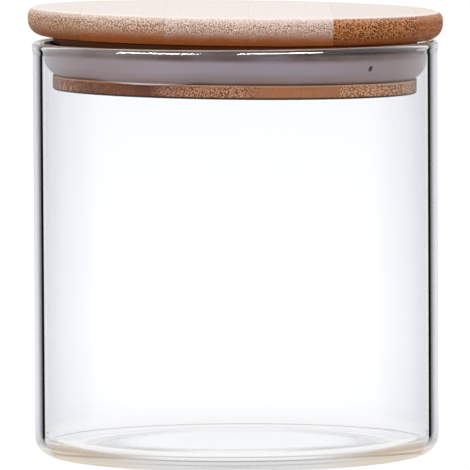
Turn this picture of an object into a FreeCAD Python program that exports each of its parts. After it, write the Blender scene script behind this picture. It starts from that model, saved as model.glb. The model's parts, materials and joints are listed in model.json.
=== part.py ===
import FreeCAD, Part
import math
import os

# Food canister: a clear glass jar, closed by a laminated bamboo lid with a silicone seal ring.
# Millimetres, +Z up, origin at the centre of the face that the jar stands on, front towards -Y.

# Glass jar
jar_diameter = 100.0
jar_height = 102.5  # from the foot to the crest of the rim
jar_wall = 2.2
jar_floor = 2.4
jar_outer_corner = 4.8  # radius outside, where the wall turns into the floor
jar_inner_corner = 3.4  # the same turn on the inside
rim_bead = 0.25  # how far the melted rim swells out past the wall
rim_bead_height = 3.0
foot_width = 9.0  # flat ring that the jar stands on
push_up_height = 0.9  # hollow under the floor, inside the foot
push_up_slope = 12.0  # radial width of the slope from the foot to that hollow

# Top board of the lid
lid_overhang = 1.3  # past the jar's wall
lid_thickness = 7.0
lid_top_edge = 2.2  # rounding of the upper edge
lid_under_edge = 3.8  # rounding of the lower edge
lid_edge_limit = 0.95  # the most of the thickness that both roundings may take together
lid_lean = 0.96  # degrees that the lid sits out of level, its left side up
lid_seat_clearance = 0.05  # between the lid's underside and the rim, where they are closest

# Plug board of the lid, which holds the seal
plug_gap = 2.8  # between the plug's edge and the glass
plug_depth = 13.1  # below the lid's underside
plug_flange = 3.4  # wood under the seal
plug_collar = 1.7  # wood over the seal
plug_edge_break = 0.3
groove_depth = 4.0  # radial

# Bamboo strips of each board, grain along Y: full ones between a cut one at either edge
lid_full_strips = 4
lid_left_strip = 13.5
lid_right_strip = 7.1
plug_full_strips = 2
plug_left_strip = 24.2
plug_right_strip = 19.8

# Silicone seal ring
seal_lip_gap = 0.3  # between the lip and the glass
seal_bore_clearance = 0.3  # between the ring and the bottom of its groove
seal_top_clearance = 0.2  # under the collar
seal_foot_inset = 1.1  # lower edge of the ring, inside the plug's edge
seal_lip_height = 2.3  # straight upper part of the lip, which meets the glass
seal_flare_bow = 1.0  # how far the part below it bows out from a straight cone
seal_core = 2.0  # wall that hugs the groove
seal_lip = 1.6  # wall of the lip at its top
seal_lip_edge = 0.6  # rounding at the top of the lip
seal_relief_depth = 4.5  # slot behind the lip, which lets it flex

saw_margin = 1.0  # how far a cutting slab reaches past the board

jar_radius = jar_diameter / 2
mouth_radius = jar_radius - jar_wall
rim_radius = (jar_wall + rim_bead) / 2
rim_crest_radius = mouth_radius + rim_radius
lid_radius = jar_radius + lid_overhang
plug_radius = mouth_radius - plug_gap
neck_radius = plug_radius - groove_depth
seal_low = plug_flange - plug_depth
seal_high = -plug_collar - seal_top_clearance
lip_low = seal_high - seal_lip_height
lid_height = jar_height + lid_seat_clearance + rim_crest_radius * math.tan(math.radians(lid_lean))


def point(radius, height):
    return FreeCAD.Vector(radius, 0, height)


def line(start, end):
    return Part.LineSegment(point(*start), point(*end)).toShape()


def polyline(*corners):
    return [line(start, end) for start, end in zip(corners, corners[1:])]


def arc(start, middle, end):
    return Part.Arc(point(*start), point(*middle), point(*end)).toShape()


def quarter(centre, radius, from_angle, to_angle):
    """Arc about a centre, between two angles in degrees from the outward direction."""

    def on_circle(angle):
        turn = math.radians(angle)
        return centre[0] + radius * math.cos(turn), centre[1] + radius * math.sin(turn)

    return arc(on_circle(from_angle), on_circle((from_angle + to_angle) / 2), on_circle(to_angle))


def bowed(start, end, bow):
    """Arc that stands off the straight line between its ends by bow, to the right of the way it runs."""
    run, rise = end[0] - start[0], end[1] - start[1]
    length = math.hypot(run, rise)
    middle = (start[0] + end[0]) / 2 + bow * rise / length, (start[1] + end[1]) / 2 - bow * run / length
    return arc(start, middle, end)


def soft_step(start, end):
    """Two equal arcs that leave one level and arrive at another, both ends flat."""
    run, rise = end[0] - start[0], end[1] - start[1]
    middle = (start[0] + end[0]) / 2, (start[1] + end[1]) / 2
    half_length = math.hypot(run, rise) / 2
    radius = half_length**2 / abs(rise)
    bow = radius - math.sqrt(radius**2 - (half_length / 2) ** 2)
    side = math.copysign(bow, run * rise)
    return [bowed(start, middle, side), bowed(middle, end, -side)]


def turned(edges):
    """Solid of revolution about Z from the edges of a closed half section."""
    section = Part.Face(Part.Wire(edges))
    return section.revolve(FreeCAD.Vector(0, 0, 0), FreeCAD.Vector(0, 0, 1), 360)


def glass_jar():
    foot_outer = jar_radius - jar_outer_corner
    foot_inner = foot_outer - foot_width
    hollow = foot_inner - push_up_slope
    inner_floor = mouth_radius - jar_inner_corner
    bead_low = jar_height - rim_bead_height
    bead_edge = jar_radius + rim_bead, jar_height - rim_radius
    bead_bow = rim_bead / 4
    mouth_edge = mouth_radius, jar_height - rim_radius
    floor_top = jar_floor + push_up_height
    edges = polyline((0, floor_top), (0, push_up_height), (hollow, push_up_height))
    edges += soft_step((hollow, push_up_height), (foot_inner, 0))
    edges += [
        line((foot_inner, 0), (foot_outer, 0)),
        quarter((foot_outer, jar_outer_corner), jar_outer_corner, -90, 0),
        line((jar_radius, jar_outer_corner), (jar_radius, bead_low)),
        bowed((jar_radius, bead_low), bead_edge, -bead_bow),
        arc(bead_edge, (rim_crest_radius, jar_height), mouth_edge),
        line(mouth_edge, (mouth_radius, jar_floor + jar_inner_corner)),
        quarter((inner_floor, jar_floor + jar_inner_corner), jar_inner_corner, 0, -90),
        line((inner_floor, jar_floor), (foot_inner, jar_floor)),
    ]
    edges += soft_step((foot_inner, jar_floor), (hollow, floor_top))
    edges.append(line((hollow, floor_top), (0, floor_top)))
    return turned(edges)


def lid_board():
    """Top board, with its underside at height 0 on the axis."""
    share = min(1.0, lid_edge_limit * lid_thickness / (lid_under_edge + lid_top_edge))
    under, over = lid_under_edge * share, lid_top_edge * share
    edges = polyline((0, lid_thickness), (0, 0), (lid_radius - under, 0))
    edges += [
        quarter((lid_radius - under, under), under, -90, 0),
        line((lid_radius, under), (lid_radius, lid_thickness - over)),
        quarter((lid_radius - over, lid_thickness - over), over, 0, 90),
        line((lid_radius - over, lid_thickness), (0, lid_thickness)),
    ]
    return turned(edges)


def plug_board():
    """Plug under the top board, with the groove for the seal between its flange and its collar."""
    corners = [
        (0, 0),
        (0, -plug_depth),
        (plug_radius - plug_edge_break, -plug_depth),
        (plug_radius, plug_edge_break - plug_depth),
        (plug_radius, seal_low),
        (neck_radius, seal_low),
        (neck_radius, -plug_collar),
        (plug_radius, -plug_collar),
        (plug_radius, 0),
        (0, 0),
    ]
    return turned(polyline(*corners))


def seal_ring():
    """Ring in the plug's groove, whose lip flares out and up to the glass."""
    bore = neck_radius + seal_bore_clearance
    foot = plug_radius - seal_foot_inset
    tip = mouth_radius - seal_lip_gap
    relief_low = seal_high - seal_relief_depth
    edges = polyline((bore, seal_low), (foot, seal_low))
    edges += [
        bowed((foot, seal_low), (tip, lip_low), seal_flare_bow),
        line((tip, lip_low), (tip, seal_high - seal_lip_edge)),
        quarter((tip - seal_lip_edge, seal_high - seal_lip_edge), seal_lip_edge, 0, 90),
    ]
    edges += polyline(
        (tip - seal_lip_edge, seal_high),
        (tip - seal_lip, seal_high),
        (tip - seal_lip, relief_low),
        (bore + seal_core, relief_low),
        (bore + seal_core, seal_high),
        (bore, seal_high),
        (bore, seal_low),
    )
    return turned(edges)


def sawn(board, radius, left_strip, right_strip, full_strips):
    """The strips of a board from left to right, with its glue seams between them."""
    box = board.BoundBox
    low = FreeCAD.Vector(box.XMin - saw_margin, box.YMin - saw_margin, box.ZMin - saw_margin)
    depth = box.YLength + 2 * saw_margin
    height = box.ZLength + 2 * saw_margin
    first_seam, last_seam = left_strip - radius, radius - right_strip
    strip_width = (last_seam - first_seam) / full_strips
    seams = [first_seam + strip_width * step for step in range(full_strips + 1)]
    cuts = [low.x, *seams, box.XMax + saw_margin]
    strips = []
    for left, right in zip(cuts, cuts[1:]):
        slab = Part.makeBox(right - left, depth, height, FreeCAD.Vector(left, low.y, low.z))
        strips += board.common(slab).Solids
    return strips


def set_on_jar(shape):
    """Moves a lid piece onto the jar, leaning about the level of the seal's lip, which centres it."""
    shape.translate(FreeCAD.Vector(0, 0, lid_height))
    lip_centre = FreeCAD.Vector(0, 0, lid_height + lip_low)
    shape.rotate(lip_centre, FreeCAD.Vector(0, 1, 0), lid_lean)
    return shape


pieces = {"glass_jar": glass_jar(), "seal_ring": set_on_jar(seal_ring())}
lid_sawn = sawn(lid_board(), lid_radius, lid_left_strip, lid_right_strip, lid_full_strips)
plug_sawn = sawn(plug_board(), plug_radius, plug_left_strip, plug_right_strip, plug_full_strips)
for name, strips in (("lid_strip", lid_sawn), ("plug_strip", plug_sawn)):
    for number, strip in enumerate(strips, 1):
        pieces[f"{name}_{number}"] = set_on_jar(strip)

os.makedirs("parts", exist_ok=True)
for name, shape in pieces.items():
    shape.exportStep(f"parts/{name}.step")
    print(f"{name}: {len(shape.Solids)} solid, valid {shape.isValid()}, {shape.Volume / 1000:.2f} cm3")
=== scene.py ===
import json
import math

import bmesh
import bpy
from mathutils import Matrix, Vector


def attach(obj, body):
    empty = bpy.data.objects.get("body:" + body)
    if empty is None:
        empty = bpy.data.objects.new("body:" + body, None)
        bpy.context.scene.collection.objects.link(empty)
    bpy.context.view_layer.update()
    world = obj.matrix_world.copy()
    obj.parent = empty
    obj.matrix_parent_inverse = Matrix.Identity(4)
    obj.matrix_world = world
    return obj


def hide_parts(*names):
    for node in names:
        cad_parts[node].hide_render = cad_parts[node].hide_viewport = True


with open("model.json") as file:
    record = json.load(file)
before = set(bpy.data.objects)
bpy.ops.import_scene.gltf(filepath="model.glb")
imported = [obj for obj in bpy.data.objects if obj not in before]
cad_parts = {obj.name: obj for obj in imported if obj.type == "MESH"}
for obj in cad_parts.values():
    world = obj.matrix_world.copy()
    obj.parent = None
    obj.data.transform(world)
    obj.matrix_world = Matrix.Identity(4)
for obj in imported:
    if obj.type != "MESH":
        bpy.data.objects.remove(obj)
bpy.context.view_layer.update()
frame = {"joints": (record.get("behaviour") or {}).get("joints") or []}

# Clear glass canister with a bamboo lid and a silicone seal ring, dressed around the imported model.
# Metres, +Z up, front towards -Y. Sizes are written in millimetres times MM.
MM = 0.001

# Glass jar
JAR_RADIUS = 50.0 * MM
JAR_HEIGHT = 102.5 * MM
JAR_WALL = 2.2 * MM
JAR_FLOOR = 2.4 * MM
OUTER_CORNER = 4.8 * MM
INNER_CORNER = 3.4 * MM
RIM_BEAD = 0.25 * MM
RIM_BEAD_HEIGHT = 3.0 * MM
FOOT_WIDTH = 9.0 * MM
PUSH_UP = 0.9 * MM
PUSH_UP_SLOPE = 12.0 * MM
MOUTH_RADIUS = JAR_RADIUS - JAR_WALL
RIM_RADIUS = (JAR_WALL + RIM_BEAD) / 2

# Lid, in its own frame: the underside of the top board is at height 0 on the lid's axis
LIP_TO_UNDERSIDE = 4.2 * MM  # from the pivot of the lid to the underside of its top board
LID_OVERHANG = 1.3 * MM  # past the jar's wall
LID_RADIUS = JAR_RADIUS + LID_OVERHANG
LID_THICKNESS = 7.0 * MM
LID_TOP_EDGE = 2.2 * MM
LID_UNDER_EDGE = 3.8 * MM
LID_SEAMS = [-37.8 * MM, -17.3 * MM, 3.2 * MM, 23.7 * MM, 44.2 * MM]
PLUG_GAP = 2.8 * MM  # between the plug's edge and the glass
PLUG_RADIUS = MOUTH_RADIUS - PLUG_GAP
PLUG_DEPTH = 13.1 * MM
PLUG_FLANGE = 3.4 * MM
PLUG_COLLAR = 1.7 * MM
PLUG_EDGE = 0.3 * MM
PLUG_SEAMS = [-20.8 * MM, 2.2 * MM, 25.2 * MM]
GROOVE_DEPTH = 4.0 * MM
NECK_RADIUS = PLUG_RADIUS - GROOVE_DEPTH
SEAM_BREAK = 0.06 * MM  # tiny chamfer along each glue seam

# Seal ring
SEAL_BORE_CLEARANCE = 0.3 * MM
SEAL_LIP_GAP = 0.3 * MM  # between the lip and the glass
SEAL_FOOT_INSET = 1.1 * MM  # lower edge of the ring, inside the plug's edge
SEAL_TOP_CLEARANCE = 0.2 * MM
SEAL_LIP_HEIGHT = 2.3 * MM
SEAL_FLARE_BOW = 1.0 * MM
SEAL_CORE = 2.0 * MM
SEAL_LIP = 1.6 * MM
SEAL_LIP_EDGE = 0.6 * MM
SEAL_RELIEF = 4.5 * MM
SEAL_BORE = NECK_RADIUS + SEAL_BORE_CLEARANCE
SEAL_TIP = MOUTH_RADIUS - SEAL_LIP_GAP
SEAL_FOOT = PLUG_RADIUS - SEAL_FOOT_INSET
SEAL_LOW = PLUG_FLANGE - PLUG_DEPTH
SEAL_HIGH = -PLUG_COLLAR - SEAL_TOP_CLEARANCE
SEAL_LIP_LOW = SEAL_HIGH - SEAL_LIP_HEIGHT

# Sag of the seal's lower edge, at the left of its front
SAG_LEFT, SAG_RIGHT = -33.0 * MM, -10.0 * MM
SAG_OUT = 1.25 * MM
SAG_DOWN = 0.65 * MM
SAG_PEAK = 0.45 * MM  # height of the lowest point of the sag up the flare
SAG_REACH = 2.2 * MM

TURNS = 256  # steps round each turned piece
SUPPORT = 0.12 * MM  # distance of the extra ring that keeps a straight stretch straight in shading
SAME_PLACE = 1e-7  # points closer than this are one point
ROUNDING = 1e-6  # slack when a vertex is compared with a radius
SHARP_ANGLE = 32  # degrees between two faces from which their edge shades sharp
JAR_SHARP_ANGLE = 60


# Colours


def srgb(red, green, blue):
    """Linear colour from the usual 0 to 255 values."""

    def linear(value):
        share = value / 255
        return share / 12.92 if share <= 0.04045 else ((share + 0.055) / 1.055) ** 2.4

    return linear(red), linear(green), linear(blue), 1.0


def grey(level):
    return level, level, level, 1.0


# Outlines: lists of (radius, height)


def between(start, end, share):
    return start[0] + (end[0] - start[0]) * share, start[1] + (end[1] - start[1]) * share


def straight(start, end):
    """A straight stretch with a support point near either end."""
    length = math.dist(start, end)
    if length < 3 * SUPPORT:
        return [start, end]
    share = SUPPORT / length
    return [start, between(start, end, share), between(start, end, 1 - share), end]


def arc(centre, radius, start, end, steps=12):
    """Points on a circle, between two angles in degrees from the outward direction."""
    points = []
    for step in range(steps + 1):
        turn = math.radians(start + (end - start) * step / steps)
        points.append((centre[0] + radius * math.cos(turn), centre[1] + radius * math.sin(turn)))
    return points


def bowed(start, end, bow, steps):
    """Arc between two points that stands off their straight line by bow, to the right of the way it runs."""
    length = math.dist(start, end)
    across = (end[1] - start[1]) / length, (start[0] - end[0]) / length
    points = []
    for step in range(steps + 1):
        share = step / steps
        lift = bow * 4 * share * (1 - share)
        middle = between(start, end, share)
        points.append((middle[0] + across[0] * lift, middle[1] + across[1] * lift))
    return points


def eased(start, end, steps=14):
    """Soft step: the first value runs evenly, and the second eases from start to end, flat at both."""
    points = []
    for step in range(steps + 1):
        share = step / steps
        rise = share * share * (3 - 2 * share)
        points.append((start[0] + (end[0] - start[0]) * share, start[1] + (end[1] - start[1]) * rise))
    return points


def joined(*stretches):
    """One outline from several stretches, without doubled points."""
    outline = []
    for stretch in stretches:
        for place in stretch:
            if not outline or math.dist(place, outline[-1]) > SAME_PLACE:
                outline.append(place)
    return outline


def jar_outline():
    foot_outer = JAR_RADIUS - OUTER_CORNER
    foot_inner = foot_outer - FOOT_WIDTH
    hollow = foot_inner - PUSH_UP_SLOPE
    inner_floor = MOUTH_RADIUS - INNER_CORNER
    bead_low = JAR_HEIGHT - RIM_BEAD_HEIGHT
    rim_level = JAR_HEIGHT - RIM_RADIUS
    floor_top = JAR_FLOOR + PUSH_UP
    corner_level = JAR_FLOOR + INNER_CORNER
    # The bead under the rim swells out of the straight wall and ends upright
    bead = eased((bead_low, JAR_RADIUS), (rim_level, JAR_RADIUS + RIM_BEAD), steps=8)
    return joined(
        straight((0, PUSH_UP), (hollow, PUSH_UP)),
        eased((hollow, PUSH_UP), (foot_inner, 0)),
        straight((foot_inner, 0), (foot_outer, 0)),
        arc((foot_outer, OUTER_CORNER), OUTER_CORNER, -90, 0, steps=16),
        straight((JAR_RADIUS, OUTER_CORNER), (JAR_RADIUS, bead_low)),
        [(radius, height) for height, radius in bead],
        arc((MOUTH_RADIUS + RIM_RADIUS, rim_level), RIM_RADIUS, 0, 180, steps=20),
        straight((MOUTH_RADIUS, rim_level), (MOUTH_RADIUS, corner_level)),
        arc((inner_floor, corner_level), INNER_CORNER, 0, -90, steps=14),
        straight((inner_floor, JAR_FLOOR), (foot_inner, JAR_FLOOR)),
        eased((foot_inner, JAR_FLOOR), (hollow, floor_top)),
        straight((hollow, floor_top), (0, floor_top)),
    )


def lid_outline():
    side_low, side_high = LID_UNDER_EDGE, LID_THICKNESS - LID_TOP_EDGE
    return joined(
        straight((0, 0), (LID_RADIUS - LID_UNDER_EDGE, 0)),
        arc((LID_RADIUS - LID_UNDER_EDGE, side_low), LID_UNDER_EDGE, -90, 0),
        arc((LID_RADIUS - LID_TOP_EDGE, side_high), LID_TOP_EDGE, 0, 90),
        straight((LID_RADIUS - LID_TOP_EDGE, LID_THICKNESS), (0, LID_THICKNESS)),
    )


def plug_outline():
    return [
        (0, -PLUG_DEPTH),
        (PLUG_RADIUS - PLUG_EDGE, -PLUG_DEPTH),
        (PLUG_RADIUS, PLUG_EDGE - PLUG_DEPTH),
        (PLUG_RADIUS, SEAL_LOW),
        (NECK_RADIUS, SEAL_LOW),
        (NECK_RADIUS, -PLUG_COLLAR),
        (PLUG_RADIUS, -PLUG_COLLAR),
        (PLUG_RADIUS, 0),
        (0, 0),
    ]


def seal_outline():
    edge_centre = SEAL_TIP - SEAL_LIP_EDGE, SEAL_HIGH - SEAL_LIP_EDGE
    relief_low = SEAL_HIGH - SEAL_RELIEF
    slot_outer, slot_inner = SEAL_TIP - SEAL_LIP, SEAL_BORE + SEAL_CORE
    return joined(
        straight((SEAL_BORE, SEAL_LOW), (SEAL_FOOT, SEAL_LOW)),
        bowed((SEAL_FOOT, SEAL_LOW), (SEAL_TIP, SEAL_LIP_LOW), SEAL_FLARE_BOW, steps=14),
        straight((SEAL_TIP, SEAL_LIP_LOW), (SEAL_TIP, SEAL_HIGH - SEAL_LIP_EDGE)),
        arc(edge_centre, SEAL_LIP_EDGE, 0, 90, steps=8),
        straight((SEAL_TIP - SEAL_LIP_EDGE, SEAL_HIGH), (slot_outer, SEAL_HIGH)),
        straight((slot_outer, SEAL_HIGH), (slot_outer, relief_low)),
        straight((slot_outer, relief_low), (slot_inner, relief_low)),
        straight((slot_inner, relief_low), (slot_inner, SEAL_HIGH)),
        straight((slot_inner, SEAL_HIGH), (SEAL_BORE, SEAL_HIGH)),
        straight((SEAL_BORE, SEAL_HIGH), (SEAL_BORE, SEAL_LOW))[:-1],
    )


# Meshes


def turned(outline, closed=False):
    """Surface of revolution about Z from an outline. An open one starts and ends on the axis."""
    mesh = bmesh.new()
    rings = []
    for radius, height in outline:
        if radius < SAME_PLACE:
            rings.append([mesh.verts.new((0, 0, height))])
            continue
        ring = []
        for step in range(TURNS):
            turn = 2 * math.pi * step / TURNS
            ring.append(mesh.verts.new((radius * math.cos(turn), radius * math.sin(turn), height)))
        rings.append(ring)
    pairs = list(zip(rings, rings[1:]))
    if closed:
        pairs.append((rings[-1], rings[0]))
    for low, high in pairs:
        for step in range(TURNS):
            after = (step + 1) % TURNS
            corners = [low[step % len(low)], low[after % len(low)]]
            corners += [high[after % len(high)], high[step % len(high)]]
            mesh.faces.new(list(dict.fromkeys(corners)))
    bmesh.ops.recalc_face_normals(mesh, faces=mesh.faces)
    return mesh


def sawn(mesh, left, right):
    """Keeps the slab of a closed mesh between two planes across X, and closes the cuts."""
    for place, side in ((left, -1), (right, 1)):
        if place is None:
            continue
        geometry = mesh.verts[:] + mesh.edges[:] + mesh.faces[:]
        cut = bmesh.ops.bisect_plane(
            mesh, geom=geometry, plane_co=(place, 0, 0), plane_no=(side, 0, 0), clear_outer=True
        )
        edges = [item for item in cut["geom_cut"] if isinstance(item, bmesh.types.BMEdge)]
        face = bmesh.ops.edgeloop_fill(mesh, edges=edges)["faces"]
        rim = [edge for item in face for edge in item.edges]
        bmesh.ops.bevel(mesh, geom=rim, offset=SEAM_BREAK, segments=1, affect="EDGES", profile=0.5)
    bmesh.ops.recalc_face_normals(mesh, faces=mesh.faces)
    return mesh


def sagged(mesh):
    """Lets the lower edge of the seal hang out past the plug for a stretch at the front."""
    for vertex in mesh.verts:
        x, y, height = vertex.co
        radius = math.hypot(x, y)
        share = (x - SAG_LEFT) / (SAG_RIGHT - SAG_LEFT)
        if y > 0 or not 0 < share < 1 or radius < SEAL_FOOT - ROUNDING or height > SEAL_LIP_LOW:
            continue
        slack = math.sin(math.pi * share) ** 0.5
        up = height - SEAL_LOW
        out = SAG_OUT * slack * math.exp(-((up / SAG_REACH) ** 2))
        down = SAG_DOWN * slack**3 * up / SAG_PEAK * math.exp(1 - up / SAG_PEAK)
        vertex.co = (x * (1 + out / radius), y * (1 + out / radius), height - down)
    return mesh


# Shader nodes

MIX_INPUTS = (0, 6, 7)  # sockets of the Mix node: its factor and its two colours
MIX_OUTPUT = 2


def wire(tree, socket, value):
    if isinstance(value, bpy.types.NodeSocket):
        tree.links.new(value, socket)
    else:
        socket.default_value = value


def node(tree, kind, inputs=None, **settings):
    """New shader node, with its settings, and its inputs by name or number."""
    made = tree.nodes.new("ShaderNode" + kind)
    for key, value in settings.items():
        setattr(made, key, value)
    for key, value in (inputs or {}).items():
        wire(tree, made.inputs[key], value)
    return made


def sums(tree, operation, first, second=0.0, third=0.0):
    return node(tree, "Math", {0: first, 1: second, 2: third}, operation=operation).outputs[0]


def times(tree, first, second):
    return sums(tree, "MULTIPLY", first, second)


def vectors(tree, operation, first, second=(0, 0, 0)):
    made = node(tree, "VectorMath", {0: first, 1: second}, operation=operation)
    return made.outputs["Value" if operation == "LENGTH" else "Vector"]


def scaled(tree, vector, factors):
    return vectors(tree, "MULTIPLY", vector, factors)


def spread(tree, value, low, high, to_low=0.0, to_high=1.0, smooth=True):
    """The value's place between low and high, from to_low to to_high, held at both ends."""
    kind = "SMOOTHSTEP" if smooth else "LINEAR"
    inputs = {"Value": value, "From Min": low, "From Max": high, "To Min": to_low, "To Max": to_high}
    return node(tree, "MapRange", inputs, interpolation_type=kind).outputs["Result"]


def falling(tree, value, low, high):
    """1 up to low, and 0 from high on."""
    return spread(tree, value, low, high, 1.0, 0.0)


def blended(tree, share, first, second):
    """The first colour where the share is 0, and the second where it is 1."""
    made = node(tree, "Mix", data_type="RGBA")
    for number, value in zip(MIX_INPUTS, (share, first, second)):
        wire(tree, made.inputs[number], value)
    return made.outputs[MIX_OUTPUT]


def ramp(tree, share, stops):
    """Colour ramp through (place, colour) stops."""
    made = node(tree, "ValToRGB", {"Fac": share})
    points = made.color_ramp.elements
    while len(points) < len(stops):
        points.new(1.0)
    for point, (place, colour) in zip(points, stops):
        point.position = place
        point.color = colour
    return made.outputs["Color"]


def noise(tree, place, scale=1.0, detail=2.0, roughness=0.5):
    inputs = {"Vector": place, "Scale": scale, "Detail": detail, "Roughness": roughness}
    return node(tree, "TexNoise", inputs).outputs["Fac"]


def noise_shift(tree, place, scale, detail, reach):
    """Noise as a shift to and fro, by up to half of reach along each axis."""
    drift = node(tree, "TexNoise", {"Vector": place, "Scale": scale, "Detail": detail}).outputs["Color"]
    return scaled(tree, vectors(tree, "SUBTRACT", drift, (0.5, 0.5, 0.5)), reach)


def new_material(name):
    material = bpy.data.materials.new(name)
    material.use_nodes = True
    tree = material.node_tree
    tree.nodes.clear()
    return material, tree


def shown_by(tree, shader):
    node(tree, "OutputMaterial", {"Surface": shader})


def place_in_mm(tree):
    """The piece's own coordinates in millimetres."""
    own = node(tree, "TexCoord").outputs["Object"]
    return scaled(tree, own, (1 / MM,) * 3)


def radius_of(tree, place):
    return vectors(tree, "LENGTH", scaled(tree, place, (1, 1, 0)))


# Materials. Their lengths are in millimetres, the jar's from the middle of its foot and the lid's and the
# seal's in the lid's frame. A pair of lengths is a stretch over which one look turns into the next.

GLASS_IOR = 1.47
GLASS_GLOSS = 0.5
GLASS_GLOSS_TINT = grey(0.4)
CLEAR_TINT = (0.96, 0.965, 0.97, 1)  # of the light that the jar lets through to dull surfaces
CORNER_MIDDLE = (44.8, 5.3)  # radius and height that the jar's bottom corner turns about
SKIN_HALFWAY = (4.0, 4.2)  # distance from there that lies between the jar's inner face and its outer face
OUTER_WALL_FROM = (3.2, 5.6)  # height where the foot turns into the wall
INNER_WALL_FROM = (4.5, 7.0)
RIM_COAT_FROM = (100.9, 101.3)  # height where the glossier rim begins
RIM_COAT_ROUGHNESS = 0.05
CREST_FROM = (102.15, 102.3)  # height where the painted highlight along the rim's crest begins
CREST_HIGHLIGHT_SHARE = 0.75
CREST_HIGHLIGHT = srgb(206, 184, 170)
LINE_FROM = (0.195, 0.199)  # Fresnel factor where the painted dark line near the wall's silhouette begins
LINE_TO = (0.236, 0.25)
OUTER_EDGE_SHADE = [  # painted shade by Fresnel factor: a dark line, then blue-grey, at the wall's silhouettes
    (0.0, grey(0.995)),
    (0.191, grey(0.96)),
    (0.199, grey(0.0)),
    (0.245, (0.02, 0.02, 0.025, 1)),
    (0.268, (0.13, 0.135, 0.16, 1)),
    (0.295, (0.34, 0.355, 0.41, 1)),
    (0.335, (0.56, 0.585, 0.65, 1)),
    (0.385, (0.75, 0.78, 0.86, 1)),
    (0.46, (0.85, 0.87, 0.92, 1)),
    (1.0, grey(0.85)),
]
# Painted shade by Fresnel factor on the inner face, greyer towards its edges
INNER_EDGE_SHADE = [
    (0.0, (0.975, 0.985, 1.0, 1)),
    (0.045, (0.945, 0.955, 0.985, 1)),
    (0.06, (0.865, 0.88, 0.92, 1)),
    (0.15, (0.75, 0.77, 0.82, 1)),
    (0.31, (0.65, 0.67, 0.72, 1)),
    (0.42, (0.74, 0.74, 0.75, 1)),
    (1.0, grey(0.75)),
]
FOOT_SPAN = 55.0  # radius plus height at the end of the foot's tints
FOOT_SIDES = (14.0, 36.0)  # distance left and right where the foot turns to a warm painted reflection
FOOT_BACK_FROM = (-2.0, 10.0)  # Y where the foot's front look ends
# The ramps below are painted reflections on the foot: grey bands, thin dark lines and warm bands
UNDER_FLOOR = [
    (0.0, grey(0.95)),
    (0.28, grey(0.85)),
    (0.36, grey(0.96)),
    (0.5, grey(0.9)),
    (0.58, grey(0.97)),
]
PLAIN_FOOT = [*UNDER_FLOOR, (0.68, grey(0.9)), (0.8, grey(0.84)), (0.82, grey(0.97))]
FOOT_BACK = [*PLAIN_FOOT, (0.913, grey(0.97)), (0.92, grey(0.1)), (0.927, grey(0.98))]
FOOT_MIDDLE = [
    *PLAIN_FOOT,
    (0.862, (0.97, 0.955, 0.94, 1)),
    (0.905, (0.97, 0.955, 0.94, 1)),
    (0.913, grey(0.97)),
    (0.92, (0.3, 0.28, 0.27, 1)),
    (0.927, grey(0.99)),
    (0.946, grey(0.99)),
    (0.953, (0.1, 0.09, 0.09, 1)),
    (0.96, grey(0.99)),
    (0.97, grey(0.99)),
    (0.977, (0.18, 0.17, 0.17, 1)),
    (0.984, grey(0.99)),
]
FOOT_SIDE = [
    *UNDER_FLOOR,
    (0.68, (0.7, 0.67, 0.67, 1)),
    (0.8, (0.5, 0.47, 0.47, 1)),
    (0.826, (0.62, 0.5, 0.4, 1)),
    (0.838, (0.3, 0.2, 0.12, 1)),
    (0.85, (0.3, 0.2, 0.12, 1)),
    (0.862, (0.84, 0.62, 0.38, 1)),
    (0.9, (0.96, 0.76, 0.48, 1)),
    (0.93, (0.88, 0.68, 0.44, 1)),
    (0.938, (0.66, 0.55, 0.46, 1)),
    (0.944, (0.92, 0.87, 0.82, 1)),
    (0.956, (0.86, 0.83, 0.82, 1)),
    (0.962, (0.42, 0.39, 0.39, 1)),
    (0.985, (0.36, 0.34, 0.36, 1)),
    (1.0, (0.8, 0.79, 0.79, 1)),
]
SLOPE_SPAN = 50.0  # radius at the end of the tints on the slope of the floor
SLOPE_SIDES = (5.0, 22.0)  # distance left and right where that slope turns grey, a painted reflection
PLAIN_FLOOR = grey(0.97)
SLOPE = [(0.52, PLAIN_FLOOR), (0.6, grey(0.62)), (0.68, grey(0.38)), (0.75, grey(0.42)), (0.8, PLAIN_FLOOR)]


def outer_face(tree, radius, height):
    """1 on the outer face of the jar and 0 on its inner face."""
    beyond = sums(tree, "MAXIMUM", sums(tree, "SUBTRACT", radius, CORNER_MIDDLE[0]), 0.0)
    below = sums(tree, "MAXIMUM", sums(tree, "SUBTRACT", CORNER_MIDDLE[1], height), 0.0)
    away = vectors(tree, "LENGTH", node(tree, "CombineXYZ", {0: beyond, 1: below}).outputs[0])
    return spread(tree, away, *SKIN_HALFWAY, smooth=False)


def foot_tint(tree, axes, radius):
    """Painted reflections on the foot: warm at the left and the right of its front, with thin grey lines."""
    turn_in = spread(tree, sums(tree, "ADD", radius, axes.outputs["Z"]), 0.0, FOOT_SPAN, smooth=False)
    back, middle, side = [ramp(tree, turn_in, stops) for stops in (FOOT_BACK, FOOT_MIDDLE, FOOT_SIDE)]
    sides = spread(tree, sums(tree, "ABSOLUTE", axes.outputs["X"]), *FOOT_SIDES)
    front = blended(tree, sides, middle, side)
    return blended(tree, falling(tree, axes.outputs["Y"], *FOOT_BACK_FROM), back, front)


def floor_tint(tree, axes, radius):
    """Painted reflection on the glass floor: a soft grey ring on the slope round its hollow, left and right.
    """
    ring = ramp(tree, spread(tree, radius, 0.0, SLOPE_SPAN, smooth=False), SLOPE)
    sides = spread(tree, sums(tree, "ABSOLUTE", axes.outputs["X"]), *SLOPE_SIDES)
    return blended(tree, sides, PLAIN_FLOOR, ring)


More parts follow.
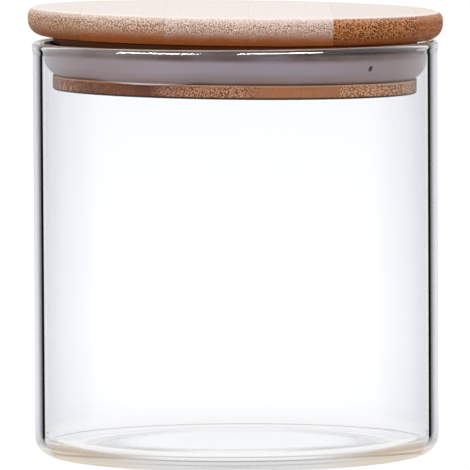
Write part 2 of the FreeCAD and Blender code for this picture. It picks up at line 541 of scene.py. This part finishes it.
def clear_glass():
    """Clear glass, with dark wall edges painted as shade by Fresnel, a painted highlight on its rim's crest,
    and painted reflections as tints by place on its foot and floor.
    """
    material, tree = new_material("clear_glass")
    place = place_in_mm(tree)
    axes = node(tree, "SeparateXYZ", {0: place})
    height = axes.outputs["Z"]
    radius = radius_of(tree, place)
    outside = outer_face(tree, radius, height)
    shine = node(tree, "Fresnel", {"IOR": GLASS_IOR}).outputs[0]
    outer_wall = spread(tree, height, *OUTER_WALL_FROM)
    outer = blended(tree, outer_wall, foot_tint(tree, axes, radius), ramp(tree, shine, OUTER_EDGE_SHADE))
    inner_wall = spread(tree, height, *INNER_WALL_FROM)
    inner = blended(tree, inner_wall, floor_tint(tree, axes, radius), ramp(tree, shine, INNER_EDGE_SHADE))
    # Painted highlight along the rim's crest, opaque where it lies
    crest_highlight = spread(tree, height, *CREST_FROM, to_high=CREST_HIGHLIGHT_SHARE)
    tint = blended(tree, crest_highlight, blended(tree, outside, inner, outer), CREST_HIGHLIGHT)
    # The painted dark line at the wall's silhouette: there the glass turns opaque and loses its gloss, so
    # that it shows black
    line = times(tree, spread(tree, shine, *LINE_FROM), falling(tree, shine, *LINE_TO))
    line = times(tree, times(tree, line, outside), outer_wall)
    gloss = sums(tree, "SUBTRACT", 1.0, line)
    glass = node(
        tree,
        "BsdfPrincipled",
        {
            "Base Color": tint,
            "Roughness": 0.0,
            "IOR": GLASS_IOR,
            "Transmission Weight": sums(tree, "SUBTRACT", gloss, crest_highlight),
            "Specular IOR Level": times(tree, gloss, GLASS_GLOSS),
            "Specular Tint": GLASS_GLOSS_TINT,
            "Coat Weight": times(tree, spread(tree, height, *RIM_COAT_FROM), outside),
            "Coat Roughness": RIM_COAT_ROUGHNESS,
        },
    ).outputs[0]
    clear = node(tree, "BsdfTransparent", {"Color": CLEAR_TINT}).outputs[0]
    path = node(tree, "LightPath").outputs
    lit_through = node(tree, "MixShader", {0: path["Is Diffuse Ray"], 1: glass, 2: clear}).outputs[0]
    shown_by(tree, node(tree, "MixShader", {0: path["Is Shadow Ray"], 1: lit_through, 2: clear}).outputs[0])
    return material


NOISE_MIDDLE = (0.3, 0.7)  # the stretch that most values of a noise lie in
NOISE_UPPER = (0.35, 0.7)
FRONT_TO = (-1.0, 1.0)  # Y where the marks on the seal's front end
NICK_PLACE = (32.3, -5.75)  # X and Z of the small nick in the seal's face
NICK_SIZE = (0.44, 0.8)
NICK_TILT = 20  # degrees
NICK_EDGE = (0.85, 1.1)  # share of its size where the nick ends
NICK_SHADE = srgb(8, 2, 4)
SEAL_SPAN = (-10.5, -1.5)  # heights that the seal's colours are spread over
# Painted shade: darker along the bottom, under the seal's lower edge, and near the top, under the lid and the
# rim
SEAL_COLOURS = [
    (0.08, srgb(110, 80, 74)),
    (0.1, srgb(128, 100, 94)),
    (0.22, srgb(160, 136, 134)),
    (0.45, srgb(170, 156, 162)),
    (0.68, srgb(162, 148, 157)),
    (0.8, srgb(78, 54, 50)),
    (0.95, srgb(70, 42, 34)),
]
SEAL_CLOUDS, SEAL_CLOUD_SHARE = srgb(156, 152, 164), 0.3
SEAL_SPECKS, SEAL_SPECK_SHARE = srgb(130, 116, 118), 0.1
SEAL_SIDES = (14.0, 38.0)  # distance left and right where the seal turns browner
SEAL_SIDE_COLOUR, SEAL_SIDE_SHARE = srgb(150, 122, 116), 0.4
HEM_LEFT, HEM_RIGHT = (-32.0, -30.0), (-13.0, -11.0)  # X of both ends of the painted highlight along the sag's lower edge
HEM_TOP = (-9.62, -9.5)
HEM_HIGHLIGHT = srgb(255, 240, 234)
SEAL_ROUGHNESS = (0.42, 0.55)
SEAL_GLOSS = 0.2
SEAL_BUMP = {"Strength": 0.05, "Distance": 0.05 * MM}


def nick(tree, axes):
    """1 inside the small slanted nick in the front of the seal, which is painted dark as its shade."""
    turn = math.radians(NICK_TILT)
    across = sums(tree, "SUBTRACT", axes.outputs["X"], NICK_PLACE[0])
    along = sums(tree, "SUBTRACT", axes.outputs["Z"], NICK_PLACE[1])
    first = sums(tree, "MULTIPLY_ADD", across, math.cos(turn), times(tree, along, -math.sin(turn)))
    second = sums(tree, "MULTIPLY_ADD", across, math.sin(turn), times(tree, along, math.cos(turn)))
    first = sums(tree, "DIVIDE", first, NICK_SIZE[0])
    second = sums(tree, "DIVIDE", second, NICK_SIZE[1])
    away = vectors(tree, "LENGTH", node(tree, "CombineXYZ", {0: first, 1: second}).outputs[0])
    return times(tree, falling(tree, away, *NICK_EDGE), falling(tree, axes.outputs["Y"], *FRONT_TO))


def silicone():
    """Soft grey silicone with a faint bloom, with painted shade near its top, where the lid and the rim shade
    it, and along its lower edge.
    """
    material, tree = new_material("silicone")
    place = place_in_mm(tree)
    axes = node(tree, "SeparateXYZ", {0: place})
    along, height = axes.outputs["X"], axes.outputs["Z"]
    cloud = noise(tree, place, scale=0.09, detail=3.0)
    fine = noise(tree, place, scale=2.4, detail=3.0)
    colour = ramp(tree, spread(tree, height, *SEAL_SPAN, smooth=False), SEAL_COLOURS)
    colour = blended(tree, spread(tree, cloud, *NOISE_UPPER, to_high=SEAL_CLOUD_SHARE), colour, SEAL_CLOUDS)
    colour = blended(tree, spread(tree, fine, *NOISE_UPPER, to_high=SEAL_SPECK_SHARE), colour, SEAL_SPECKS)
    sides = spread(tree, sums(tree, "ABSOLUTE", along), *SEAL_SIDES, to_high=SEAL_SIDE_SHARE)
    colour = blended(tree, sides, colour, SEAL_SIDE_COLOUR)
    # Painted highlight along the sag's lower edge
    hem_highlight = times(tree, spread(tree, along, *HEM_LEFT), falling(tree, along, *HEM_RIGHT))
    hem_highlight = times(tree, hem_highlight, falling(tree, axes.outputs["Y"], *FRONT_TO))
    hem_highlight = times(tree, hem_highlight, falling(tree, height, *HEM_TOP))
    colour = blended(tree, hem_highlight, colour, HEM_HIGHLIGHT)
    # Painted shade fills the small nick
    colour = blended(tree, nick(tree, axes), colour, NICK_SHADE)
    shader = node(
        tree,
        "BsdfPrincipled",
        {
            "Base Color": colour,
            "Roughness": spread(tree, fine, *NOISE_MIDDLE, *SEAL_ROUGHNESS),
            "Specular IOR Level": SEAL_GLOSS,
            "Normal": node(tree, "Bump", {"Height": fine, **SEAL_BUMP}).outputs[0],
        },
    ).outputs[0]
    shown_by(tree, shader)
    return material


SEED_STEP = (37.0, 61.0, 17.0)  # shift of the grain from one seed to the next
SWAY_STRETCH = (0.08, 0.02, 0.08)
SWAY_REACH = (4.0, 0.0, 4.0)
BUNDLE_RAGGED = 1.3  # noise cells per bundle that make its outline ragged
BUNDLE_SQUEEZE = (1.0, 0.8, 1.0)
BUNDLE_RANDOM = 0.85
BUNDLE_EDGE = (-0.1, 0.1)  # distance from its outline where a bundle ends
WOOD_BUMP = {"Strength": 0.25, "Distance": 0.06 * MM}


def across_grain(tree, place, seed):
    """Place across the fibres, which run along Y with a slow sway: X and Z, as a flat pair."""
    shifted = vectors(tree, "ADD", place, tuple(seed * step for step in SEED_STEP))
    sway = noise_shift(tree, scaled(tree, shifted, SWAY_STRETCH), scale=1.0, detail=2.0, reach=SWAY_REACH)
    axes = node(tree, "SeparateXYZ", {0: vectors(tree, "ADD", shifted, sway)})
    return node(tree, "CombineXYZ", {0: axes.outputs["X"], 1: axes.outputs["Z"]}).outputs[0]


def bundles(tree, across, size, least, most):
    """Fibre bundles: dots on the end grain, which run on as lines along the strip."""
    ragged = noise_shift(tree, across, scale=BUNDLE_RAGGED / size, detail=1.0, reach=(size, size, 0.0))
    squeezed = scaled(tree, vectors(tree, "ADD", across, ragged), BUNDLE_SQUEEZE)
    inputs = {"Vector": squeezed, "Scale": 1 / size, "Randomness": BUNDLE_RANDOM}
    cells = node(tree, "TexVoronoi", inputs, voronoi_dimensions="2D")
    chance = node(tree, "SeparateColor", {0: cells.outputs["Color"]}).outputs[0]
    reach = spread(tree, chance, 0.0, 1.0, least, most, smooth=False)
    return falling(tree, sums(tree, "SUBTRACT", cells.outputs["Distance"], reach), *BUNDLE_EDGE)


def wood(tree, colour, relief, roughness, gloss):
    bump = node(tree, "Bump", {"Height": relief, **WOOD_BUMP}).outputs[0]
    inputs = {"Base Color": colour, "Roughness": roughness, "Specular IOR Level": gloss, "Normal": bump}
    shown_by(tree, node(tree, "BsdfPrincipled", inputs).outputs[0])


LID_DOTS = (0.28, 0.5)  # least and most reach of a dot, in cells
LID_PATCHES = (0.22, 0.5, 1.0)  # stretch of the noise of each kind of figure
LID_LINES = (5.0, 0.6, 1.0)
LID_WAVES = (0.35, 2.6, 1.0)
LID_WAVE_FROM, LID_LINE_FROM = (0.42, 0.6), (0.4, 0.75)  # noise where a figure begins to show
LID_PATCH_FROM, LID_FLECK_FROM = (0.3, 0.55), (0.56, 0.68)
LID_RAGGED = (-0.3, 0.3)  # how far patches shift the heights at which the looks change
LID_TOP_FROM = (6.5, 6.95)  # height where the top face begins
LID_PALE_FROM = (4.2, 6.4)  # height where the side turns paler, painted light from above
LID_DOTS_TO = (5.0, 6.6)  # height where the dots grow weaker
LID_DOTS_LOSS = 1.2  # how much weaker, for each share of the side that turns pale
LID_DOTS_LOW = 0.1  # strength of the dots low on the side
LID_DOTS_FROM = (0.0, 0.7)  # share of the upper look where the dots reach full strength
LID_DOTS_ON_TOP = 0.15
LID_DOTS_SPARSE = 0.6  # strength of the dots in the weaker patches
LID_LINE_SHARE = 0.1
LID_FLECK_SCALE, LID_FLECK_SHARE = 1.1, 0.45
LID_TOP_GRAIN = 0.075  # share of the side's look that still shows on top
ARRIS_RADIUS, ARRIS_HEIGHT = (49.25, 49.45), (6.5, 6.8)  # the painted highlight ring where the top face turns down
ARRIS_HIGHLIGHT = srgb(215, 207, 201)
LID_ROUGHNESS = (0.46, 0.6)
LID_LINE_RELIEF = 0.5  # height of the lines beside the depth of the dots
LID_GLOSS = 0.07


def lid_bamboo(name, seed, top, side, low, dot, fleck, size, reach, fade=0.5, wavy=0.0):
    """One strip of the top board: pale on top, partly a painted sheen, dotted on its end grain, its side
    paler upwards as painted light from above, and browner towards its lower edge, partly its own colour and
    partly painted shade.
    """
    material, tree = new_material(name)
    place = place_in_mm(tree)
    height = node(tree, "SeparateXYZ", {0: place}).outputs["Z"]
    across = across_grain(tree, place, seed)
    spots = bundles(tree, across, size, *LID_DOTS)
    patches = noise(tree, scaled(tree, across, LID_PATCHES))
    lines = noise(tree, scaled(tree, across, LID_LINES), detail=3.0, roughness=0.6)
    waves = noise(tree, scaled(tree, across, LID_WAVES), detail=3.0, roughness=0.6)
    edge = sums(tree, "ADD", height, spread(tree, patches, *NOISE_MIDDLE, *LID_RAGGED, smooth=False))
    upper = spread(tree, edge, *reach)
    on_top = spread(tree, height, *LID_TOP_FROM)
    colour = blended(tree, upper, low, side)
    # Painted light from above: the side turns paler towards the top
    colour = blended(tree, spread(tree, height, *LID_PALE_FROM, to_high=fade), colour, top)
    colour = blended(tree, spread(tree, waves, *LID_WAVE_FROM, to_high=wavy), colour, fleck)
    strength = times(tree, spread(tree, upper, *LID_DOTS_FROM, to_low=LID_DOTS_LOW), 1.0 - wavy)
    weaker = spread(tree, edge, *LID_DOTS_TO, 1.0, 1.0 - LID_DOTS_LOSS * fade)
    strength = times(tree, strength, weaker)
    strength = times(tree, strength, spread(tree, on_top, 0.0, 1.0, 1.0, LID_DOTS_ON_TOP))
    strength = times(tree, strength, spread(tree, patches, *LID_PATCH_FROM, to_low=LID_DOTS_SPARSE))
    colour = blended(tree, times(tree, spots, strength), colour, dot)
    colour = blended(tree, spread(tree, lines, *LID_LINE_FROM, to_high=LID_LINE_SHARE), colour, dot)
    flecks = noise(tree, across, scale=LID_FLECK_SCALE / size, detail=1.0)
    flecks = spread(tree, flecks, *LID_FLECK_FROM, to_high=LID_FLECK_SHARE)
    colour = blended(tree, times(tree, flecks, strength), colour, fleck)
    # Partly a painted sheen: the top face takes the top colour
    colour = blended(tree, times(tree, on_top, 1.0 - LID_TOP_GRAIN / (1.0 - fade)), colour, top)
    # Painted highlight ring where the top face turns down
    arris_highlight = spread(tree, radius_of(tree, place), *ARRIS_RADIUS)
    arris_highlight = times(tree, arris_highlight, spread(tree, height, *ARRIS_HEIGHT))
    colour = blended(tree, arris_highlight, colour, ARRIS_HIGHLIGHT)
    relief = sums(tree, "SUBTRACT", times(tree, lines, LID_LINE_RELIEF), spots)
    wood(tree, colour, relief, spread(tree, lines, *NOISE_MIDDLE, *LID_ROUGHNESS), LID_GLOSS)
    return material


PLUG_SEED = 10  # seeds of the plug's strips count on from here
PLUG_MARKS = (0.3, 0.5)  # least and most reach of a mark, in cells
PLUG_MARKS_LAST = 0.1  # strength of the marks past the end of their stretch
PLUG_LINES = (3.0, 0.3, 1.0)
PLUG_LINE_SHARE = 0.35
STREAKS_LEFT, STREAKS_RIGHT = (-44.0, -43.0), (-39.0, -37.0)  # X of both ends of the pale streaks
STREAK_FROM, STREAK_SHARE = (0.5, 0.62), 0.7
FLANGE_HIGHLIGHT, FLANGE_HIGHLIGHT_SHARE = (-10.1, -9.9), 0.7  # height where the painted highlight on the flange's upper edge begins
PLUG_BANDS = [  # height where a band begins or ends, its share below and above that, and its colour
    ((-9.5, -8.5), (0.0, 0.95), srgb(50, 20, 4)),  # painted shade in the groove behind the seal
    ((-2.0, -1.6), (0.0, 1.0), srgb(118, 72, 46)),  # collar: a plain brown, partly painted shade under the top board
    ((-0.5, -0.2), (0.0, 1.0), srgb(40, 10, 2)),  # painted shade close under the top board
    ((-12.75, -12.45), (0.97, 0.0), srgb(30, 8, 2)),  # painted shade along the lower edge
]
PLUG_SHADED_ENDS = (42.6, 44.6)  # distance left and right where the plug turns dark with painted shade
PLUG_END_SHADE, PLUG_END_SHADE_SHARE = srgb(64, 20, 6), 0.75
PLUG_ROUGHNESS = (0.5, 0.64)
PLUG_GLOSS = 0.05


def plug_bamboo(name, seed, ground, shade, turn, figure, size, share, stretch):
    """One strip of the plug: brown, with a paler figure, with painted shade in its groove, close under the
    top board, along its lower edge and at its left and right ends, and a painted highlight on the flange's
    upper edge.
    """
    material, tree = new_material(name)
    place = place_in_mm(tree)
    axes = node(tree, "SeparateXYZ", {0: place})
    along, height = axes.outputs["X"], axes.outputs["Z"]
    across = across_grain(tree, place, seed)
    marks = bundles(tree, across, size, *PLUG_MARKS)
    marks = times(tree, marks, spread(tree, along, *stretch[:2]))
    marks = times(tree, marks, spread(tree, along, *stretch[2:], 1.0, PLUG_MARKS_LAST))
    lines = noise(tree, scaled(tree, across, PLUG_LINES), detail=3.0, roughness=0.6)
    shaded = spread if turn[0] < turn[1] else falling
    colour = blended(tree, shaded(tree, along, *sorted(turn)), ground, shade)
    colour = blended(tree, spread(tree, lines, *NOISE_UPPER, to_high=PLUG_LINE_SHARE), colour, shade)
    streaks = spread(tree, lines, *STREAK_FROM, to_high=STREAK_SHARE)
    streaks = times(tree, streaks, falling(tree, along, *STREAKS_RIGHT))
    streaks = times(tree, streaks, spread(tree, along, *STREAKS_LEFT))
    colour = blended(tree, streaks, colour, figure)
    colour = blended(tree, times(tree, marks, share), colour, figure)
    # Painted highlight on the flange's upper edge
    colour = blended(tree, spread(tree, height, *FLANGE_HIGHLIGHT, to_high=FLANGE_HIGHLIGHT_SHARE), colour, figure)
    for heights, shares, band in PLUG_BANDS:
        colour = blended(tree, spread(tree, height, *heights, *shares), colour, band)
    # Painted shade at the plug's left and right ends
    sides = spread(tree, sums(tree, "ABSOLUTE", along), *PLUG_SHADED_ENDS, to_high=PLUG_END_SHADE_SHARE)
    colour = blended(tree, sides, colour, PLUG_END_SHADE)
    relief = sums(tree, "ADD", lines, times(tree, marks, share))
    wood(tree, colour, relief, spread(tree, lines, *NOISE_MIDDLE, *PLUG_ROUGHNESS), PLUG_GLOSS)
    return material


# Pieces


def piece(name, mesh, place, body, slot, material, *nodes, sharp=SHARP_ANGLE):
    """Blender object from a mesh, riding on a body and standing for CAD nodes."""
    data = bpy.data.meshes.new(name)
    mesh.to_mesh(data)
    mesh.free()
    data.shade_smooth()
    data.set_sharp_from_angle(angle=math.radians(sharp))
    data.materials.append(material)
    made = bpy.data.objects.new(name, data)
    bpy.context.scene.collection.objects.link(made)
    made.matrix_world = place
    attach(made, body)
    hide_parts(*nodes)
    return made


def lid_place():
    """The lid's own frame on the jar, from its turning joint."""
    turn = next(joint for joint in frame["joints"] if joint["name"] == "lid_turn")
    axis = Vector(turn["axis"])
    lean = Vector((0, 0, 1)).rotation_difference(axis).to_matrix().to_4x4()
    return Matrix.Translation(Vector(turn["pos_m"])) @ lean @ Matrix.Translation((0, 0, LIP_TO_UNDERSIDE))


def strips(name, outline, seams, body, slot, materials, place):
    cuts = [None, *seams, None]
    for number, (left, right, material) in enumerate(zip(cuts, cuts[1:], materials), 1):
        mesh = sawn(turned(outline), left, right)
        piece(f"bamboo_{name}_{number}", mesh, place, body, slot, material, f"{name}_strip_{number}")


on_jar = lid_place()
jar_mesh, jar_look = turned(jar_outline()), clear_glass()
jar = piece(
    "jar_glass", jar_mesh, Matrix(), "jar", "clear_glass", jar_look, "glass_jar", sharp=JAR_SHARP_ANGLE
)
seal_mesh = sagged(turned(seal_outline(), closed=True))
piece("seal_silicone", seal_mesh, on_jar, "seal", "silicone", silicone(), "seal_ring")

cream, ivory, blush = srgb(209, 203, 200), srgb(212, 202, 194), srgb(226, 204, 190)
orange, rust = srgb(166, 84, 26), srgb(134, 56, 4)
pale, straw, honey = srgb(236, 220, 208), srgb(230, 178, 124), srgb(206, 146, 98)
# Per strip of the top board: its colour on top, partly a painted sheen, on its side and low on its side,
# partly painted shade, that of its dots and flecks, the size of its dots, the heights where its low colour
# ends, how far its side turns pale as painted light from above, and how wavy it is
lid_looks = [
    (cream, srgb(212, 174, 142), srgb(152, 78, 22), srgb(128, 82, 54), pale, 0.34, (0.8, 4.6)),
    (cream, srgb(218, 188, 166), orange, srgb(136, 90, 64), pale, 0.36, (1.0, 5.0)),
    (cream, blush, orange, srgb(148, 102, 76), pale, 0.36, (0.8, 5.0)),
    (cream, blush, orange, srgb(152, 108, 82), pale, 0.36, (0.8, 5.0)),
    (cream, srgb(196, 126, 76), rust, srgb(80, 32, 4), straw, 0.46, (-0.2, 3.8), 0.2),
    (ivory, srgb(164, 90, 42), rust, srgb(92, 40, 10), honey, 0.6, (0.0, 3.0), 0.25, 0.6),
]
# Per strip of the plug: its ground, the shade that it turns to, the stretch where it turns, the colour, size
# and share of its figure, and the two stretches where that figure begins and ends
plug_looks = [
    (srgb(84, 32, 6), srgb(108, 54, 28), (-36, -22), srgb(220, 154, 96), 0.4, 0.2, (-60, -50, -27, -22)),
    (srgb(126, 68, 38), srgb(108, 50, 32), (-6, -20), srgb(226, 172, 130), 0.36, 0.72, (-22, -15, 3, 8)),
    (srgb(176, 114, 72), srgb(128, 70, 40), (8, 1), srgb(220, 164, 120), 0.36, 0.6, (-10, 0, 2, 8)),
    (srgb(150, 90, 54), srgb(136, 78, 44), (34, 40), srgb(232, 182, 138), 0.5, 0.8, (21, 26, 43, 46)),
]
lid_woods = [lid_bamboo(f"bamboo_lid_{number}", number, *look) for number, look in enumerate(lid_looks, 1)]
plug_woods = [
    plug_bamboo(f"bamboo_plug_{number}", PLUG_SEED + number, *look)
    for number, look in enumerate(plug_looks, 1)
]
strips("lid", lid_outline(), LID_SEAMS, "lid", "lid_bamboo", lid_woods, on_jar)
strips("plug", plug_outline(), PLUG_SEAMS, "lid", "plug_bamboo", plug_woods, on_jar)


# Stage, light and camera

FLOOR_REACH = 12.0
FLOOR_LIFT = 0.02 * MM  # the foot touches the floor, and the two don't share a plane
FLOOR_COLOUR = grey(0.16)
FLOOR_GLOW = 0.85  # what camera, mirror and glass rays see on top of the lit floor, so that it is white
FLOOR_GLOW_FAR = 0.9
FLOOR_FAR_FROM = (80, 400)  # distance from the jar's axis, in millimetres, where the far floor begins
FLOOR_FILL = 0.42  # light that the floor sends up at dull surfaces, on top of what it reflects
GLOSS_LEVEL = 0.35  # of the white background in reflections, as the room around a small studio is darker
WALL_LEVEL = 0.65  # the same in reflections inside the glass wall
WALL_DEPTH = 2.5  # a ray with fewer passages through glass than this is still in the first wall
NO_BOUNCE = 0.5  # a count of bounces under this is none
CEILING_RISE = (0.15, 0.4)  # upward share of a direction where the darker ceiling begins
CEILING_LEVEL = grey(0.8)
AMBIENT, AMBIENT_COLOUR = 0.6, (1.0, 0.985, 0.97, 1)
LAMP_DISTANCE = 1.6
SOFTBOX_SIZE, GLINT_SIZE = (1.2, 0.5), (1.36, 0.5)
FRONT_RADIANCE, BACK_RADIANCE, GLINT_RADIANCE = 5.6, 4.0, 45.0
CAMERA_PLACE = (-0.00023, -2.0, 0.19841)
CAMERA_PITCH = 4.123  # degrees below the horizon
CAMERA_ROLL = -0.295
CAMERA_LENS = 620.18
CAMERA_SENSOR = 36.0
CAMERA_REACH = 100.0


def seen_directly(tree):
    """Level of the background in a ray: 1 from the camera or glass, less in gloss, 0 after a dull surface."""
    path = node(tree, "LightPath").outputs
    gloss = times(tree, path["Is Glossy Ray"], GLOSS_LEVEL)
    mirrored = sums(tree, "GREATER_THAN", path["Glossy Depth"], NO_BOUNCE)
    inside = times(tree, mirrored, sums(tree, "LESS_THAN", path["Transmission Depth"], WALL_DEPTH))
    through = spread(tree, inside, 0.0, 1.0, 1.0, WALL_LEVEL, smooth=False)
    seen = sums(tree, "MAXIMUM", path["Is Camera Ray"], gloss)
    seen = sums(tree, "MAXIMUM", seen, times(tree, path["Is Transmission Ray"], through))
    return times(tree, seen, sums(tree, "LESS_THAN", path["Diffuse Depth"], NO_BOUNCE))


def stage_floor():
    mesh = bmesh.new()
    bmesh.ops.create_grid(mesh, x_segments=1, y_segments=1, size=FLOOR_REACH)
    data = bpy.data.meshes.new("floor")
    mesh.to_mesh(data)
    mesh.free()
    material, tree = new_material("floor")
    lit = node(tree, "BsdfDiffuse", {"Color": FLOOR_COLOUR}).outputs[0]
    away = radius_of(tree, place_in_mm(tree))
    level = spread(tree, away, *FLOOR_FAR_FROM, FLOOR_GLOW, FLOOR_GLOW_FAR)
    strength = spread(tree, seen_directly(tree), 0.0, 1.0, FLOOR_FILL, level, smooth=False)
    glow = node(tree, "Emission", {"Color": grey(1.0), "Strength": strength}).outputs[0]
    shown_by(tree, node(tree, "AddShader", {0: lit, 1: glow}).outputs[0])
    data.materials.append(material)
    floor = bpy.data.objects.new("floor", data)
    bpy.context.scene.collection.objects.link(floor)
    floor.location.z = FLOOR_LIFT


def studio_world():
    """White to the horizon for what shows the background, with a darker ceiling, and an even soft light."""
    world = bpy.data.worlds.new("studio")
    world.use_nodes = True
    tree = world.node_tree
    tree.nodes.clear()
    direction = node(tree, "TexCoord").outputs["Generated"]
    rise = node(tree, "SeparateXYZ", {0: direction}).outputs["Z"]
    seen_colour = blended(tree, spread(tree, rise, *CEILING_RISE), grey(1.0), CEILING_LEVEL)
    seen = node(tree, "Background", {"Color": seen_colour, "Strength": 1.0}).outputs[0]
    soft = node(tree, "Background", {"Color": AMBIENT_COLOUR, "Strength": AMBIENT}).outputs[0]
    both = node(tree, "MixShader", {0: seen_directly(tree), 1: soft, 2: seen}).outputs[0]
    node(tree, "OutputWorld", {"Surface": both})
    bpy.context.scene.world = world


def softbox(name, azimuth, elevation, size, radiance, glint=None):
    """Area lamp that faces the lid, at an azimuth from the front towards the right.

    A glint only shows in the objects of the collection that it is linked to.
    """
    lamp = bpy.data.lights.new(name, "AREA")
    lamp.shape = "RECTANGLE"
    lamp.size, lamp.size_y = size
    lamp.energy = radiance * math.pi * size[0] * size[1]
    made = bpy.data.objects.new(name, lamp)
    around, up = math.radians(azimuth), math.radians(elevation)
    away = Vector((math.sin(around) * math.cos(up), -math.cos(around) * math.cos(up), math.sin(up)))
    made.location = Vector((0, 0, JAR_HEIGHT)) + away * LAMP_DISTANCE
    made.rotation_euler = away.to_track_quat("Z", "Y").to_euler()
    made.visible_transmission = False
    if glint is None:
        made.visible_glossy = False
    else:
        made.visible_diffuse = False
        made.light_linking.receiver_collection = glint
    bpy.context.scene.collection.objects.link(made)


def photo_camera():
    data = bpy.data.cameras.new("camera")
    data.lens = CAMERA_LENS
    data.sensor_width = CAMERA_SENSOR
    data.clip_end = CAMERA_REACH
    camera = bpy.data.objects.new("camera", data)
    tilt = Matrix.Rotation(math.radians(90 - CAMERA_PITCH), 4, "X")
    roll = Matrix.Rotation(math.radians(CAMERA_ROLL), 4, "Z")
    camera.matrix_world = Matrix.Translation(CAMERA_PLACE) @ tilt @ roll
    bpy.context.scene.collection.objects.link(camera)
    bpy.context.scene.camera = camera


stage_floor()
studio_world()
shiny = bpy.data.collections.new("shiny")
shiny.objects.link(jar)
softbox("softbox_left", -47, 55, SOFTBOX_SIZE, FRONT_RADIANCE)
softbox("softbox_right", 27, 55, SOFTBOX_SIZE, FRONT_RADIANCE)
softbox("softbox_back", 170, 60, SOFTBOX_SIZE, BACK_RADIANCE)
softbox("glint_left", -47.5, 28, GLINT_SIZE, GLINT_RADIANCE, glint=shiny)
softbox("glint_right", 27, 28, GLINT_SIZE, GLINT_RADIANCE, glint=shiny)
photo_camera()
scene = bpy.context.scene
scene.view_settings.view_transform = "Standard"
scene.cycles.max_bounces = 64
scene.cycles.transmission_bounces = 28
scene.cycles.glossy_bounces = 48
scene.cycles.transparent_max_bounces = 16
